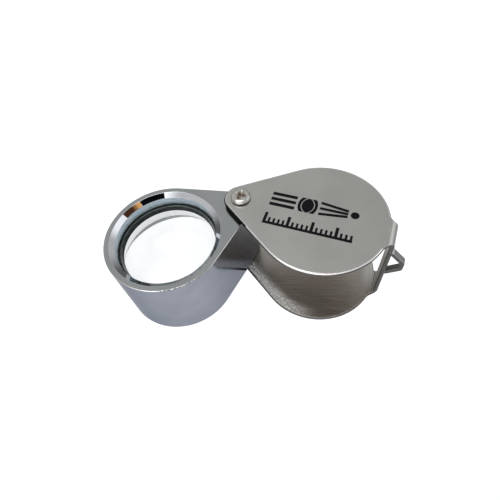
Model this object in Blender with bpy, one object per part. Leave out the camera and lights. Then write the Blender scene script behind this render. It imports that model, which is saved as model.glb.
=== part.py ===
"""Folding pocket loupe: a bent sheet cover and a drop-shaped lens body on one pivot.

Lengths below are millimetres and angles are degrees; meshes are made in metres, +Z up.
The origin is the centre of the cover's round end, on the underside of the bottom plate.
+X points from the pivot towards the web.  The lens body stands open, swung out of the cover.
"""
import math

import bmesh
import bpy
from mathutils import Matrix, Vector

MM = 0.001

# Fits
FIT_GAP = 0.05            # between pieces that touch
RUN_GAP = 0.05            # radial, between the post and the lens body

# Cover
PIVOT_TO_COVER = 17.3     # pivot axis to the centre of the round end
COVER_RADIUS = 13.5
COVER_TIP_RADIUS = 3.6
COVER_HEIGHT = 21.0
SHEET = 0.9
BEND_RADIUS = 1.7         # outer radius of the two bends
WEB_OUTER_X = 14.75
WEB_WIDTH = 5.4

# Lens body
HINGE_SPACE = 0.6         # between the lens body and each plate
PIVOT_TO_LENS = 17.85
BODY_RADIUS = 13.05
BODY_TAIL_RADIUS = 3.0
BORE_RADIUS = 10.85
MOUTH_RADIUS = 11.9
MOUTH_DEPTH = 0.85
OPEN_ANGLE = 225.0        # direction of the lens from the pivot, folded is 0

# Triplet lens
GLASS_RADIUS = 10.5
OUTER_CURVE = 26.0        # radius of the two outer faces
CEMENT_CURVE = 15.0       # radius of the two cemented faces
CROWN_THICKNESS = 9.6
FLINT_THICKNESS = 1.6
RING_DEPTH = 3.3          # mouth plane to the face of a retaining ring
RING_INNER_TOP = 10.45
RING_INNER_FOOT = 10.15

# Pivot
POST_RADIUS = 1.6
SPIGOT_RADIUS = 1.15
RIVET_RADIUS = 2.0
THREAD_BORE_RADIUS = 0.85
THREAD_BORE_DEPTH = 7.0
SCREW_RADIUS = 0.8
SCREW_LENGTH = 6.0        # under the head
HEAD_RADIUS = 2.15
HEAD_HEIGHT = 1.1
HEAD_RIM = 0.45           # height of the head's upright edge
RECESS_DEPTH = 0.75
RECESS_ARM = 1.15
RECESS_WIDTH = 0.5
WASHER_RADIUS = 2.8
FRICTION_WASHER = 0.2
SPRING_SHEET = 0.12
SPRING_WAVE = 0.07        # half the height of its waves
SPRING_WAVES = 3

# Lanyard loop
STRIP_WIDTH = 1.6
STRIP_THICKNESS = 0.9
LOOP_ROOT_HALF = 3.75
LOOP_TIP_HALF = 1.1
LOOP_REACH = 2.9          # web to the middle of the strip at the tip
LOOP_ROOT_BEND = 0.5
LOOP_TIP_BEND = 0.8

ROUND_STEPS = 80
SMALL_STEPS = 36

PIVOT_X = -PIVOT_TO_COVER
MID_HEIGHT = COVER_HEIGHT / 2
BODY_BOTTOM = SHEET + HINGE_SPACE
BODY_TOP = COVER_HEIGHT - BODY_BOTTOM


def clear_scene():
    for item in list(bpy.data.objects):
        bpy.data.objects.remove(item, do_unlink=True)


def material(name, color, roughness, metallic, transmission=0.0):
    made = bpy.data.materials.new(name)
    made.use_nodes = True
    shader = made.node_tree.nodes["Principled BSDF"]
    shader.inputs["Base Color"].default_value = (*color, 1.0)
    shader.inputs["Roughness"].default_value = roughness
    shader.inputs["Metallic"].default_value = metallic
    shader.inputs["Transmission Weight"].default_value = transmission
    made.diffuse_color = (*color, 1.0)
    return made


def add_object(name, bm, finish=None, parent=None, place=(0, 0, 0)):
    """Turn a bmesh drawn in millimetres into an object, with smooth round faces."""
    bmesh.ops.recalc_face_normals(bm, faces=bm.faces)
    bmesh.ops.scale(bm, vec=(MM, MM, MM), verts=bm.verts)
    mesh = bpy.data.meshes.new(name)
    bm.to_mesh(mesh)
    bm.free()
    mesh.shade_smooth()
    mesh.set_sharp_from_angle(angle=math.radians(30))
    made = bpy.data.objects.new(name, mesh)
    bpy.context.scene.collection.objects.link(made)
    made.location = Vector(place) * MM
    made.parent = parent
    if finish:
        mesh.materials.append(finish)
    return made


def arc(centre, radius, start, end, steps):
    """Points along an arc, both ends included; angles in radians."""
    points = []
    for i in range(steps + 1):
        turn = start + (end - start) * i / steps
        points.append((centre[0] + radius * math.cos(turn), centre[1] + radius * math.sin(turn)))
    return points


def tangent_turn(big, small, distance):
    """Direction, seen from either centre, of the points where the flank touches the arcs."""
    return math.pi - math.acos((big - small) / distance)


def drop_outline(big, small, distance):
    """Anticlockwise drop shape, small end round the origin and big end at +X."""
    turn = tangent_turn(big, small, distance)
    big_end = arc((distance, 0), big, -turn, turn, ROUND_STEPS)
    small_end = arc((0, 0), small, turn, 2 * math.pi - turn, SMALL_STEPS // 2)
    return big_end + small_end


def prism(outline, low, high):
    bm = bmesh.new()
    bottom = [bm.verts.new((x, y, low)) for x, y in outline]
    top = [bm.verts.new((x, y, high)) for x, y in outline]
    bm.faces.new(reversed(bottom))
    bm.faces.new(top)
    count = len(outline)
    for i in range(count):
        j = (i + 1) % count
        bm.faces.new((bottom[i], bottom[j], top[j], top[i]))
    return bm


def turned(profile, steps):
    """Spin a closed outline of (radius, height) about Z; a radius of 0 becomes one point."""
    bm = bmesh.new()
    rings = []
    for radius, height in profile:
        if radius == 0:
            rings.append([bm.verts.new((0, 0, height))])
        else:
            circle = arc((0, 0), radius, 0, 2 * math.pi, steps)[:-1]
            rings.append([bm.verts.new((x, y, height)) for x, y in circle])
    for lower, upper in zip(rings, rings[1:] + rings[:1]):
        if len(lower) == 1 and len(upper) == 1:
            continue
        for i in range(steps):
            j = (i + 1) % steps
            if len(lower) == 1:
                bm.faces.new((lower[0], upper[j], upper[i]))
            elif len(upper) == 1:
                bm.faces.new((lower[i], lower[j], upper[0]))
            else:
                bm.faces.new((lower[i], lower[j], upper[j], upper[i]))
    return bm


def box(low, high):
    bm = bmesh.new()
    bmesh.ops.create_cube(bm, size=1)
    size = [b - a for a, b in zip(low, high)]
    middle = [(a + b) / 2 for a, b in zip(low, high)]
    bmesh.ops.scale(bm, vec=size, verts=bm.verts)
    bmesh.ops.translate(bm, vec=middle, verts=bm.verts)
    return bm


def cylinder(radius, low, high, steps=SMALL_STEPS):
    return turned([(0, low), (radius, low), (radius, high), (0, high)], steps)


def cut(target, name, bm):
    """Cut a shape, given in the target's own frame, out of the target."""
    cutter = add_object(name, bm)
    cutter.parent = target
    cutter.hide_render = True
    cutter.display_type = "WIRE"
    step = target.modifiers.new(name, "BOOLEAN")
    step.operation = "DIFFERENCE"
    step.solver = "EXACT"
    step.object = cutter


def plate_outline():
    """Drop shape about the pivot whose round end carries the tab that bends into the web."""
    half = WEB_WIDTH / 2
    turn = tangent_turn(COVER_RADIUS, COVER_TIP_RADIUS, PIVOT_TO_COVER)
    tab = math.asin(half / COVER_RADIUS)
    centre = (PIVOT_TO_COVER, 0)
    tab_end = PIVOT_TO_COVER + WEB_OUTER_X - BEND_RADIUS
    upper = arc(centre, COVER_RADIUS, tab, turn, ROUND_STEPS // 2)
    tip = arc((0, 0), COVER_TIP_RADIUS, turn, 2 * math.pi - turn, SMALL_STEPS // 2)
    lower = arc(centre, COVER_RADIUS, -turn, -tab, ROUND_STEPS // 2)
    return [(tab_end, -half), (tab_end, half)] + upper + tip + lower


def web_sections():
    """Outer and inner (x, z) of the sheet from the top plate's tab down to the bottom plate's."""
    bend_x = PIVOT_TO_COVER + WEB_OUTER_X - BEND_RADIUS
    inner = BEND_RADIUS - SHEET
    high = COVER_HEIGHT - BEND_RADIUS
    steps = 8
    outer_points = arc((bend_x, high), BEND_RADIUS, math.pi / 2, 0, steps)
    inner_points = arc((bend_x, high), inner, math.pi / 2, 0, steps)
    outer_points += arc((bend_x, BEND_RADIUS), BEND_RADIUS, 0, -math.pi / 2, steps)
    inner_points += arc((bend_x, BEND_RADIUS), inner, 0, -math.pi / 2, steps)
    return list(zip(outer_points, inner_points))


def make_cover(finish):
    bm = bmesh.new()
    outline = plate_outline()
    count = len(outline)
    half = WEB_WIDTH / 2
    faces = []
    for level in (COVER_HEIGHT, COVER_HEIGHT - SHEET, SHEET, 0):
        faces.append([bm.verts.new((x, y, level)) for x, y in outline])
    for high, low in (faces[:2], faces[2:]):
        bm.faces.new(high)
        bm.faces.new(reversed(low))
        for i in range(1, count):
            j = (i + 1) % count
            bm.faces.new((low[i], low[j], high[j], high[i]))
    # the web starts on the top tab's end and finishes on the bottom tab's end
    sections = [(faces[0][0], faces[0][1], faces[1][0], faces[1][1])]
    for (outer_x, outer_z), (inner_x, inner_z) in web_sections()[1:-1]:
        corners = ((outer_x, -half, outer_z), (outer_x, half, outer_z),
                   (inner_x, -half, inner_z), (inner_x, half, inner_z))
        sections.append(tuple(bm.verts.new(corner) for corner in corners))
    sections.append((faces[3][0], faces[3][1], faces[2][0], faces[2][1]))
    for a, b in zip(sections, sections[1:]):
        for p, q in ((0, 1), (1, 3), (3, 2), (2, 0)):
            bm.faces.new((a[p], a[q], b[q], b[p]))
    cover = add_object("folding_cover", bm, finish, place=(PIVOT_X, 0, 0))
    screw_hole = cylinder(SCREW_RADIUS + 0.25, COVER_HEIGHT - 2 * SHEET, COVER_HEIGHT + SHEET)
    cut(cover, "cut_screw_hole", screw_hole)
    cut(cover, "cut_rivet_hole", turned(rivet_profile(FIT_GAP, SHEET + 0.3, -0.3), SMALL_STEPS))
    for sign in (-1, 1):
        middle = MID_HEIGHT + sign * LOOP_ROOT_HALF
        tall = STRIP_THICKNESS / 2 + FIT_GAP
        wide = STRIP_WIDTH / 2 + FIT_GAP
        web = PIVOT_TO_COVER + WEB_OUTER_X
        slot = box((web - 2 * SHEET, -wide, middle - tall), (web + SHEET, wide, middle + tall))
        cut(cover, "cut_loop_slot_high" if sign > 0 else "cut_loop_slot_low", slot)


def rivet_profile(grow, high, low):
    """Spigot and its countersunk foot, grown by a gap to make the hole for it."""
    foot = RIVET_RADIUS + grow
    neck = SPIGOT_RADIUS + grow
    return [(0, low), (foot, low), (foot, 0), (neck, SHEET * 0.7), (neck, high), (0, high)]


def rounded_path(corners, radii, steps):
    """Swap each inner corner of an (x, z) path for an arc of its radius."""
    points = [Vector(corners[0])]
    for before, corner, after, radius in zip(corners, corners[1:], corners[2:], radii):
        corner = Vector(corner)
        to_before = (Vector(before) - corner).normalized()
        to_after = (Vector(after) - corner).normalized()
        half_angle = to_before.angle(to_after) / 2
        centre = corner + (to_before + to_after).normalized() * radius / math.sin(half_angle)
        start = corner + to_before * radius / math.tan(half_angle)
        sweep = math.pi - 2 * half_angle
        side = 1 if to_before.x * to_after.y - to_before.y * to_after.x < 0 else -1
        for i in range(steps + 1):
            points.append(centre + Matrix.Rotation(side * sweep * i / steps, 2) @ (start - centre))
    points.append(Vector(corners[-1]))
    return points


def make_loop(finish):
    foot_x = WEB_OUTER_X - SHEET
    bend_x = WEB_OUTER_X + FIT_GAP + 0.25
    tip_x = WEB_OUTER_X + LOOP_REACH
    corners = [(foot_x, LOOP_ROOT_HALF), (bend_x, LOOP_ROOT_HALF), (tip_x, LOOP_TIP_HALF),
               (tip_x, -LOOP_TIP_HALF), (bend_x, -LOOP_ROOT_HALF), (foot_x, -LOOP_ROOT_HALF)]
    radii = (LOOP_ROOT_BEND, LOOP_TIP_BEND, LOOP_TIP_BEND, LOOP_ROOT_BEND)
    path = rounded_path(corners, radii, 5)
    bm = bmesh.new()
    sections = []
    for i, point in enumerate(path):
        ahead = path[min(i + 1, len(path) - 1)]
        behind = path[max(i - 1, 0)]
        along = (ahead - behind).normalized()
        out = Vector((-along.y, along.x)) * STRIP_THICKNESS / 2
        section = []
        for side, face in ((-1, 1), (1, 1), (1, -1), (-1, -1)):
            spot = point + out * face
            section.append(bm.verts.new((spot.x, side * STRIP_WIDTH / 2, spot.y)))
        sections.append(section)
    for a, b in zip(sections, sections[1:]):
        for p in range(4):
            q = (p + 1) % 4
            bm.faces.new((a[p], a[q], b[q], b[p]))
    bm.faces.new(sections[0])
    bm.faces.new(reversed(sections[-1]))
    add_object("lanyard_loop", bm, finish, place=(0, 0, MID_HEIGHT))


def make_post(finish):
    top = COVER_HEIGHT - SHEET - FIT_GAP
    shoulder = SHEET + FIT_GAP
    bore_floor = top - THREAD_BORE_DEPTH
    profile = [(0, 0), (RIVET_RADIUS, 0), (SPIGOT_RADIUS, SHEET * 0.7), (SPIGOT_RADIUS, shoulder),
               (POST_RADIUS, shoulder), (POST_RADIUS, top), (THREAD_BORE_RADIUS, top),
               (THREAD_BORE_RADIUS, bore_floor), (0, bore_floor)]
    add_object("pivot_post", turned(profile, SMALL_STEPS), finish, place=(PIVOT_X, 0, 0))


def make_screw(finish):
    """Pan head with a cross recess; its shank goes through the top plate into the post."""
    seat = FIT_GAP
    rim = seat + HEAD_RIM
    crown = seat + HEAD_HEIGHT
    flat = HEAD_RADIUS * 0.45
    dome = []
    steps = 6
    for i in range(steps + 1):
        turn = math.pi / 2 * i / steps
        dome.append((flat + (HEAD_RADIUS - flat) * math.cos(turn),
                     rim + (crown - rim) * math.sin(turn)))
    profile = [(0, -SCREW_LENGTH), (SCREW_RADIUS, -SCREW_LENGTH), (SCREW_RADIUS, seat),
               (HEAD_RADIUS, seat)] + dome + [(0, crown)]
    screw = add_object("pivot_screw", turned(profile, SMALL_STEPS), finish,
                       place=(PIVOT_X, 0, COVER_HEIGHT))
    low = crown - RECESS_DEPTH
    half = RECESS_WIDTH / 2
    cross = [(RECESS_ARM, -half), (RECESS_ARM, half), (half, half), (half, RECESS_ARM),
             (-half, RECESS_ARM), (-half, half), (-RECESS_ARM, half), (-RECESS_ARM, -half),
             (-half, -half), (-half, -RECESS_ARM), (half, -RECESS_ARM), (half, -half)]
    cut(screw, "cut_cross_recess", prism(cross, low, crown + RECESS_DEPTH))


def ring_shape(inner, outer, low, high, steps=SMALL_STEPS):
    return turned([(inner, low), (outer, low), (outer, high), (inner, high)], steps)


def make_friction_washers(finish):
    inner = POST_RADIUS + FIT_GAP
    upper = ring_shape(inner, WASHER_RADIUS, BODY_TOP + FIT_GAP, COVER_HEIGHT - SHEET - FIT_GAP)
    lower = ring_shape(inner, WASHER_RADIUS, BODY_BOTTOM - FIT_GAP - FRICTION_WASHER,
                       BODY_BOTTOM - FIT_GAP)
    add_object("upper_friction_washer", upper, finish, place=(PIVOT_X, 0, 0))
    add_object("lower_friction_washer", lower, finish, place=(PIVOT_X, 0, 0))


def make_spring_washer(finish):
    """Thin ring whose height follows a wave round the post."""
    inner = POST_RADIUS + FIT_GAP
    middle = SHEET + FIT_GAP + SPRING_WAVE + SPRING_SHEET / 2
    bm = ring_shape(inner, WASHER_RADIUS, -SPRING_SHEET / 2, SPRING_SHEET / 2)
    for vert in bm.verts:
        turn = math.atan2(vert.co.y, vert.co.x)
        vert.co.z += middle + SPRING_WAVE * math.cos(SPRING_WAVES * turn)
    add_object("spring_washer", bm, finish, place=(PIVOT_X, 0, 0))


def make_lens_body(finish, hinge):
    """Drop-shaped block with a chamfered through bore for the glass and a bore for the post."""
    outline = drop_outline(BODY_RADIUS, BODY_TAIL_RADIUS, PIVOT_TO_LENS)
    body = add_object("lens_body", prism(outline, BODY_BOTTOM, BODY_TOP), finish, hinge)
    past = 0.5
    widen = past * (MOUTH_RADIUS - BORE_RADIUS) / MOUTH_DEPTH
    profile = [(0, BODY_BOTTOM - past), (MOUTH_RADIUS + widen, BODY_BOTTOM - past),
               (BORE_RADIUS, BODY_BOTTOM + MOUTH_DEPTH), (BORE_RADIUS, BODY_TOP - MOUTH_DEPTH),
               (MOUTH_RADIUS + widen, BODY_TOP + past), (0, BODY_TOP + past)]
    bore = turned(profile, ROUND_STEPS)
    bmesh.ops.translate(bore, vec=(PIVOT_TO_LENS, 0, 0), verts=bore.verts)
    cut(body, "cut_lens_bore", bore)
    cut(body, "cut_post_bore", cylinder(POST_RADIUS + RUN_GAP, 0, COVER_HEIGHT))


def sag(curve, radius):
    """How far a sphere falls away from its top at this radius."""
    return curve - math.sqrt(curve ** 2 - radius ** 2)


def glass_face(curve, apex, sign, steps=7):
    """Points from the axis to the rim of a face whose middle is at apex, domed towards sign."""
    points = []
    for i in range(steps + 1):
        radius = GLASS_RADIUS * i / steps
        points.append((radius, apex - sign * sag(curve, radius)))
    return points


def make_lenses(crown_finish, flint_finish, hinge):
    half = CROWN_THICKNESS / 2
    place = (PIVOT_TO_LENS, 0, MID_HEIGHT)
    crown = glass_face(CEMENT_CURVE, -half, -1) + glass_face(CEMENT_CURVE, half, 1)[::-1]
    add_object("crown_lens", turned(crown, ROUND_STEPS // 2), crown_finish, hinge, place)
    inner = half + FIT_GAP
    outer = inner + FLINT_THICKNESS
    for name, sign in (("upper_flint_lens", 1), ("lower_flint_lens", -1)):
        profile = (glass_face(CEMENT_CURVE, sign * inner, sign)
                   + glass_face(OUTER_CURVE, sign * outer, sign)[::-1])
        add_object(name, turned(profile, ROUND_STEPS // 2), flint_finish, hinge, place)


def glass_height(radius):
    """Height, from the middle of the triplet, of an outer face at this radius."""
    return CROWN_THICKNESS / 2 + FIT_GAP + FLINT_THICKNESS - sag(OUTER_CURVE, radius)


def make_sleeve(finish, hinge):
    half = glass_height(GLASS_RADIUS)
    shape = ring_shape(GLASS_RADIUS + FIT_GAP, BORE_RADIUS - FIT_GAP, -half, half, ROUND_STEPS)
    add_object("lens_sleeve", shape, finish, hinge, (PIVOT_TO_LENS, 0, MID_HEIGHT))


def make_retaining_rings(finish, hinge):
    """Funnel-shaped rings pressed in above and below the glass."""
    foot = glass_height(GLASS_RADIUS) + FIT_GAP
    lip = glass_height(RING_INNER_FOOT) + FIT_GAP
    face = BODY_TOP - RING_DEPTH - MID_HEIGHT
    outer = BORE_RADIUS - FIT_GAP
    for name, sign in (("upper_retaining_ring", 1), ("lower_retaining_ring", -1)):
        profile = [(RING_INNER_FOOT, sign * lip), (GLASS_RADIUS, sign * foot), (outer, sign * foot),
                   (outer, sign * face), (RING_INNER_TOP, sign * face)]
        add_object(name, turned(profile, ROUND_STEPS), finish, hinge, (PIVOT_TO_LENS, 0, MID_HEIGHT))


def main():
    clear_scene()
    steel = material("satin_steel", (0.50, 0.50, 0.48), 0.38, 1.0)
    plated = material("plated_metal", (0.62, 0.63, 0.66), 0.18, 1.0)
    bright = material("bright_steel", (0.66, 0.66, 0.65), 0.22, 1.0)
    post_steel = material("post_steel", (0.45, 0.45, 0.44), 0.35, 1.0)
    spring_steel = material("spring_steel", (0.35, 0.35, 0.36), 0.3, 1.0)
    aluminium = material("sleeve_aluminium", (0.78, 0.79, 0.80), 0.25, 1.0)
    black = material("black_anodised", (0.03, 0.035, 0.035), 0.35, 0.6)
    nylon = material("washer_nylon", (0.75, 0.74, 0.70), 0.5, 0.0)
    crown = material("crown_glass", (0.97, 0.98, 0.98), 0.02, 0.0, 1.0)
    flint = material("flint_glass", (0.96, 0.98, 0.97), 0.02, 0.0, 1.0)

    make_cover(steel)
    make_loop(steel.copy())
    make_post(post_steel)
    make_screw(bright)
    make_friction_washers(nylon)
    make_spring_washer(spring_steel)

    hinge = bpy.data.objects.new("lens_hinge", None)
    bpy.context.scene.collection.objects.link(hinge)
    hinge.location = Vector((PIVOT_X, 0, 0)) * MM
    hinge.rotation_euler.z = math.radians(OPEN_ANGLE)
    make_lens_body(plated, hinge)
    make_sleeve(aluminium, hinge)
    make_retaining_rings(black, hinge)
    make_lenses(crown, flint, hinge)


main()
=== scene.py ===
"""Looks of the folding loupe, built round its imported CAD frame.

Lengths in this script are millimetres in the row frame, and angles are degrees, unless a comment
says otherwise.  Places and radii are read from the frame's boxes; what the boxes can't say, such as
edge rounding, is named below.  Every piece is drawn as a mesh in the row frame at rest.
"""
import math

import bmesh
import bpy
from mathutils import Matrix, Vector


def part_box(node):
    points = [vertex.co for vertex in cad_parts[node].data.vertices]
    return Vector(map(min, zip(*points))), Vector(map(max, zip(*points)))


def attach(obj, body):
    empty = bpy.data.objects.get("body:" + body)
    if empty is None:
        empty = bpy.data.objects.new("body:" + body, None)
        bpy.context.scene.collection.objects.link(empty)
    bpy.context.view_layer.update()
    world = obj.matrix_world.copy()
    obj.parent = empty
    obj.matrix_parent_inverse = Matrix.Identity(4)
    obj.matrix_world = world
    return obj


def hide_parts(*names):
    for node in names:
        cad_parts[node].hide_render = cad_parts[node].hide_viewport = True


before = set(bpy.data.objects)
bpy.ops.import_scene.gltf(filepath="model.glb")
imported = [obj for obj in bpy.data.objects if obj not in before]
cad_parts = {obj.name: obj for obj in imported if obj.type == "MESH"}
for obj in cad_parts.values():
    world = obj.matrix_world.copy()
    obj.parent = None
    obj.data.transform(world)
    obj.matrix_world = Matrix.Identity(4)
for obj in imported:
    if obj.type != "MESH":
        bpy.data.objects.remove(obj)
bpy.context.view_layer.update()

MM = 0.001

# -------- sizes the boxes don't give
SHEET = 0.9                 # thickness of the cover's metal
SHEET_ROUND = 0.38          # rounding of the sheet's edges
WEB_WIDTH = 5.4
WEB_FILLETS = (3.0, 0.8)    # radii in the blank's corners between the web and the plates, -Y and +Y side
BEND_RADIUS = 1.7           # outside radius of the two bends
BODY_ROUND = 0.15           # rounding of the lens body's rims
MOUTH_RADIUS = 11.9
MOUTH_DEPTH = 0.85
BORE_GAP = 0.05             # sleeve and rings to the bore
GLASS_GAP = 0.05            # glass to the sleeve, and between two cemented glasses
OUTER_CURVE = 26.0          # radii of the glass faces
CEMENT_CURVE = 15.0
RING_INNER_TOP = 10.45
RING_INNER_FOOT = 10.15
STRIP_WIDTH = 1.6           # the lanyard loop's strip
STRIP_THICKNESS = 0.9
STRIP_ROUND = 0.22
LOOP_ROOT_HALF = 3.75
LOOP_TIP_HALF = 1.1
LOOP_REACH = 2.9
LOOP_BENDS = (0.5, 0.8, 0.8, 0.5)
HOLE_RADIUS = 1.05          # screw hole in the top plate
POST_RADIUS = 1.6
SPIGOT_RADIUS = 1.15
SPIGOT_START = 0.7 * SHEET  # height at which the post's riveted foot has narrowed to its spigot
SCREW_RADIUS = 0.8
HEAD_RIM = 0.35             # height of the screw head's upright edge
HEAD_BRIM = 0.24            # height of the underside of the screw head's brim
RECESS_ARM = 1.3
RECESS_WIDTH = 0.9
RECESS_DEPTH = 0.7
RUN_GAP = 0.05
ARC_STEP = 1.5              # degrees between points on a large round edge
KNOCK_ANGLE = math.radians(-43)     # where round the lens body its rim is knocked and chipped
PRINT_HEIGHT = 0.012
PRINT_LEFT, PRINT_RIGHT = -11.0, 7.0


def cad_box(node):
    low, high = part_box(node)
    return low / MM, high / MM


COVER_LOW, COVER_HIGH = cad_box("folding_cover")
BODY_LOW, BODY_HIGH = cad_box("lens_body")
POST_LOW, POST_HIGH = cad_box("pivot_post")
SLEEVE_LOW, SLEEVE_HIGH = cad_box("lens_sleeve")
SCREW_LOW, SCREW_HIGH = cad_box("pivot_screw")
CROWN_LOW, CROWN_HIGH = cad_box("crown_lens")
LOOP_FOOT = cad_box("lanyard_loop")[0].x                # X where the loop's feet end
RING_FACE = cad_box("upper_retaining_ring")[1].z        # height of the upper ring's face

PIVOT = (POST_LOW.xy + POST_HIGH.xy) / 2
LENS = (SLEEVE_LOW.xy + SLEEVE_HIGH.xy) / 2
PIVOT_TO_LENS = (LENS - PIVOT).length
OPEN_TURN = math.atan2(LENS.y - PIVOT.y, LENS.x - PIVOT.x)
MID_HEIGHT = COVER_HIGH.z / 2
COVER_RADIUS = COVER_HIGH.y
TIP_RADIUS = PIVOT.x - COVER_LOW.x
PIVOT_TO_COVER = -PIVOT.x
BODY_RADIUS = LENS.x - BODY_LOW.x
TAIL_RADIUS = BODY_HIGH.x - PIVOT.x
BORE_RADIUS = (SLEEVE_HIGH.x - SLEEVE_LOW.x) / 2 + BORE_GAP
GLASS_RADIUS = (CROWN_HIGH.x - CROWN_LOW.x) / 2
RIVET_RADIUS = (POST_HIGH.x - POST_LOW.x) / 2

AT_PIVOT = Matrix.Translation((PIVOT.x, PIVOT.y, 0))
AT_OPEN_PIVOT = AT_PIVOT @ Matrix.Rotation(OPEN_TURN, 4, "Z")
AT_LENS = AT_OPEN_PIVOT @ Matrix.Translation((PIVOT_TO_LENS, 0, 0))


# -------- outlines
def arc(centre, radius, start, end, steps):
    """Points along an arc, both ends included; start and end in radians."""
    points = []
    for i in range(steps + 1):
        turn = start + (end - start) * i / steps
        points.append(Vector((centre[0] + radius * math.cos(turn), centre[1] + radius * math.sin(turn))))
    return points


def drop_ring(big, small, distance, inset, flank_steps=40):
    """Drop shape, small end round the origin, drawn in by inset, with the same points for each inset."""
    turn = math.pi - math.acos((big - small) / distance)
    big_steps = round(math.degrees(2 * turn) / ARC_STEP)
    tail_steps = round(math.degrees(2 * (math.pi - turn)) / (2 * ARC_STEP))
    big_end = arc((distance, 0), big - inset, -turn, turn, big_steps)
    tail = arc((0, 0), small - inset, turn, 2 * math.pi - turn, tail_steps)

    def flank(start, end):
        return [start.lerp(end, i / flank_steps) for i in range(1, flank_steps)]

    return big_end + flank(big_end[-1], tail[0]) + tail + flank(tail[-1], big_end[0])


def drop_rings(profile, big, small, distance):
    """A drop-shaped ring of points for each (inset, height, edge) of a profile, and the edges."""
    rings = []
    for inset, height, _ in profile:
        rings.append([(p.x, p.y, height) for p in drop_ring(big, small, distance, inset)])
    return rings, [edge for _, _, edge in profile]


def fillet(corners, closed=False, steps=5):
    """Round the corners (x, y, radius) of a path; gives (x, y, edge) with edge 1 on the rounding.

    A point with edge 0 on each side of a rounding keeps its shading off the flat faces.
    """
    margin = 1.12
    points = []
    count = len(corners)
    for i, (x, y, radius) in enumerate(corners):
        if radius == 0 or (not closed and i in (0, count - 1)):
            points.append((x, y, 0.0))
            continue
        corner = Vector((x, y))
        to_before = (Vector(corners[i - 1][:2]) - corner).normalized()
        to_after = (Vector(corners[(i + 1) % count][:2]) - corner).normalized()
        half_angle = to_before.angle(to_after) / 2
        reach = radius / math.tan(half_angle)
        centre = corner + (to_before + to_after).normalized() * radius / math.sin(half_angle)
        start = corner + to_before * reach
        side = -1 if to_before.cross(to_after) > 0 else 1
        sweep = side * (math.pi - 2 * half_angle)
        support = corner + to_before * reach * margin
        points.append((support.x, support.y, 0.0))
        for k in range(steps + 1):
            spot = centre + Matrix.Rotation(sweep * k / steps, 2) @ (start - centre)
            points.append((spot.x, spot.y, 1.0))
        support = corner + to_after * reach * margin
        points.append((support.x, support.y, 0.0))
    return points


# -------- meshes
def skin(rings, edges=None, closed=False):
    """Join rings of points with quads; closed joins the last ring to the first, else both are capped."""
    bm = bmesh.new()
    layer = bm.verts.layers.float.new("edge")
    rows = []
    for ring, edge in zip(rings, edges or [0.0] * len(rings)):
        row = [bm.verts.new(point) for point in ring]
        for vert in row:
            vert[layer] = edge
        rows.append(row)
    following = rows[1:] + rows[:1] if closed else rows[1:]
    for near, far in zip(rows, following):
        for i in range(len(near)):
            j = (i + 1) % len(near)
            bm.faces.new((near[i], near[j], far[j], far[i]))
    if not closed:
        bm.faces.new(reversed(rows[0]))
        bm.faces.new(rows[-1])
    return bm


def turned(profile, steps=180):
    """Spin a closed outline of (radius, height, edge) about Z; radius 0 becomes one point."""
    bm = bmesh.new()
    layer = bm.verts.layers.float.new("edge")
    rows = []
    for radius, height, edge in profile:
        if radius == 0:
            row = [bm.verts.new((0, 0, height))]
        else:
            circle = arc((0, 0), radius, 0, 2 * math.pi, steps)[:-1]
            row = [bm.verts.new((p.x, p.y, height)) for p in circle]
        for vert in row:
            vert[layer] = edge
        rows.append(row)
    for near, far in zip(rows, rows[1:] + rows[:1]):
        if len(near) == 1 and len(far) == 1:
            continue
        for i in range(steps):
            j = (i + 1) % steps
            if len(near) == 1:
                bm.faces.new((near[0], far[j], far[i]))
            elif len(far) == 1:
                bm.faces.new((near[i], near[j], far[0]))
            else:
                bm.faces.new((near[i], near[j], far[j], far[i]))
    return bm


def box(low, high):
    bm = bmesh.new()
    bmesh.ops.create_cube(bm, size=1)
    bmesh.ops.scale(bm, vec=[b - a for a, b in zip(low, high)], verts=bm.verts)
    bmesh.ops.translate(bm, vec=[(a + b) / 2 for a, b in zip(low, high)], verts=bm.verts)
    return bm


def cylinder(radius, low, high, steps=96):
    return turned([(0, low, 0), (radius, low, 0), (radius, high, 0), (0, high, 0)], steps)


def new_object(name, data):
    made = bpy.data.objects.new(name, data)
    bpy.context.scene.collection.objects.link(made)
    return made


def mesh_object(name, bm):
    """An object in the scene with this mesh; the bmesh is used up."""
    mesh = bpy.data.meshes.new(name)
    bm.to_mesh(mesh)
    bm.free()
    return new_object(name, mesh)


def combined(target, tool, operation):
    """The target joined with the tool or cut by it; both meshes are in millimetres."""
    holders = []
    for bm in (target, tool):
        bmesh.ops.recalc_face_normals(bm, faces=bm.faces)
        holders.append(mesh_object("scratch", bm))
    step = holders[0].modifiers.new("scratch", "BOOLEAN")
    step.operation = operation
    step.solver = "EXACT"
    step.object = holders[1]
    result = bmesh.new()
    result.from_object(holders[0], bpy.context.evaluated_depsgraph_get())
    for holder in holders:
        mesh = holder.data
        bpy.data.objects.remove(holder)
        bpy.data.meshes.remove(mesh)
    return result


def add_piece(name, bm, place, body, finishes, node=None, sharp=38, pick=None):
    """Turn a mesh in millimetres into a piece that rides on a body and stands for a CAD node."""
    bmesh.ops.recalc_face_normals(bm, faces=bm.faces)
    bm.transform(Matrix.Scale(MM, 4) @ place)
    piece = mesh_object(name, bm)
    mesh = piece.data
    for finish in finishes:
        mesh.materials.append(finish)
    mesh.shade_smooth()
    mesh.set_sharp_from_angle(angle=math.radians(sharp))
    if pick:
        for face in mesh.polygons:
            face.material_index = pick(face)
    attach(piece, body)
    if node:
        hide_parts(node)


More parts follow.
